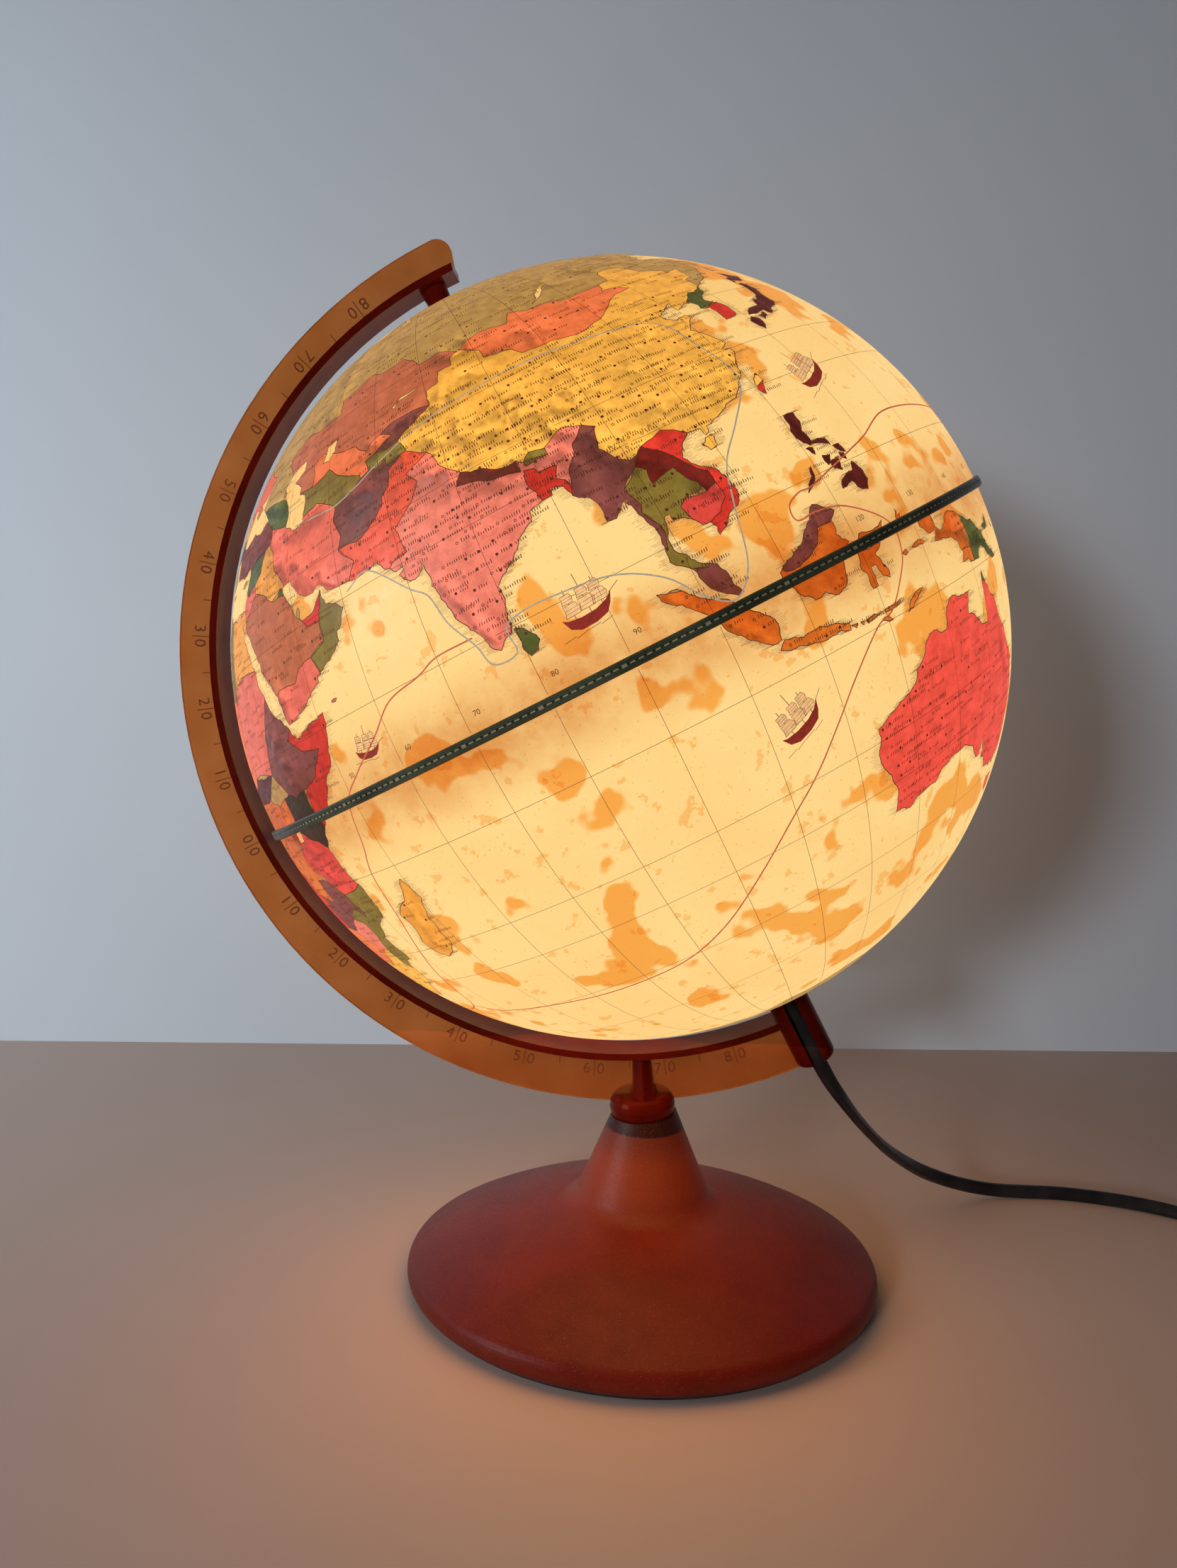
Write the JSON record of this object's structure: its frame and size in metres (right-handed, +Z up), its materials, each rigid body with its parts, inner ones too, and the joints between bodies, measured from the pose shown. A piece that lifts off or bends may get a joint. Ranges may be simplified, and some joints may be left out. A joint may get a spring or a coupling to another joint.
{
  "type": "desktop globe on stand",
  "caption": "Illuminated terrestrial globe, lit from inside, in a smoky red arm on a round domed base, with a flat mains cord, inline switch and plug.",
  "frame": {"origin": "on the table plane, at the centre of the base's foot ring", "axes": "+Z up; +X to the right with the arm's curve on the -X side and the cord on the +X side; -Y is the front, the side with the slot in the arm's lower end"},
  "size_m": [0.4339, 0.2972, 0.3519],
  "materials": {
    "smoky_red": "clear smoky red moulding, glossy on the arm and frosted inside the base",
    "black_rubber": "matte",
    "zinc_steel": "zinc plated",
    "printed_shell": "translucent moulded shell covered with a varnished printed map, lit from inside",
    "green_trim": "dark olive ring strip with a dashed edge",
    "clear_trim": "amber",
    "white_plastic": "heat resistant",
    "white_porcelain": "unglazed",
    "brass_parts": "pressed",
    "blue_pvc": "insulated cores",
    "black_plastic": "fine texture",
    "lamp_glass": "frosted, lit",
    "bright_metal": "nickel plated",
    "glowing_wire": "lit",
    "black_pvc": "soft satin",
    "red_plastic": "smooth",
    "grey_tie": "soft"
  },
  "bodies": {
    "stand": {"base_shell": "smoky_red", "foot_ring": "black_rubber", "arm_screw": "zinc_steel", "arm_washer": "zinc_steel", "meridian_arm": "smoky_red", "pivot_pin": "zinc_steel", "lamp_holder": "white_plastic", "holder_insert": "white_porcelain", "holder_thread": "brass_parts", "centre_contact": "brass_parts", "terminal_screws": "brass_parts", "supply_cores": "blue_pvc", "cord_grip": "black_plastic", "bulb_glass": "lamp_glass", "bulb_cap": "bright_metal", "bulb_filament": "glowing_wire", "mains_cord": "black_pvc", "switch_base": "black_plastic", "switch_cover": "black_plastic", "rocker_pin": "zinc_steel", "switch_contacts": "brass_parts", "switch_screws": "zinc_steel", "cord_lead": "black_pvc", "cord_coil": "black_pvc", "cord_tie": "grey_tie", "cord_tail": "black_pvc", "plug_body": "black_pvc", "plug_pins": "bright_metal"},
    "globe": {"north_hemisphere": "printed_shell", "south_hemisphere": "printed_shell", "equator_ring": "green_trim", "north_bush": "clear_trim", "south_cap": "clear_trim"},
    "rocker": {"switch_rocker": "red_plastic"}
  },
  "joints": [
    {"name": "globe_spin", "type": "hinge", "parent": "stand", "child": "globe", "pos_m": [-0.01322, -0.01026, 0.21767], "axis": [-0.4695, -0.0539, 0.8813], "continuous": true},
    {"name": "switch_rocker", "type": "hinge", "parent": "stand", "child": "rocker", "pos_m": [0.253, -0.012, 0.0134], "axis": [1, 0, 0], "range_deg": [-16, 0]}
  ]
}
